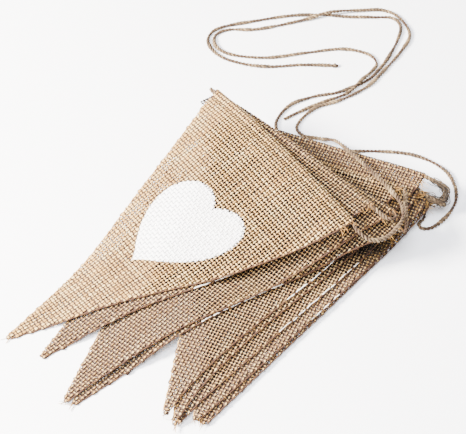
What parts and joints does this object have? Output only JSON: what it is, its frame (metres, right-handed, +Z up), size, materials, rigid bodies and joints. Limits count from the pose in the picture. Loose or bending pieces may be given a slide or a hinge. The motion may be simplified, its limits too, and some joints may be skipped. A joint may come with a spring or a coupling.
{
  "type": "fabric bunting",
  "caption": "String of triangular burlap pennants on jute twine, gathered into a fanned stack lying flat, the top one with a plain painted heart, its twine's loose ends in a loop beside it.",
  "frame": {"origin": "on the surface the stack lies on, under the middle of the box round the flags and the twine that they hold", "axes": "+Z up; +X and -Y to the right and to the front as seen from the side the flags point to, which is the picture's view"},
  "size_m": [0.2865, 0.3794, 0.0432],
  "materials": {
    "burlap": "open natural weave",
    "jute": "hairy two-ply twine"
  },
  "bodies": {
    "root": {"flag_01_heart": "burlap", "flag_02": "burlap", "flag_03": "burlap", "flag_04": "burlap", "flag_05": "burlap", "flag_06": "burlap", "flag_07": "burlap", "flag_08": "burlap", "flag_09": "burlap", "flag_10": "burlap", "twine_in_channels": "jute", "twine_back_end": "jute", "twine_front_end": "jute"}
  },
  "joints": []
}
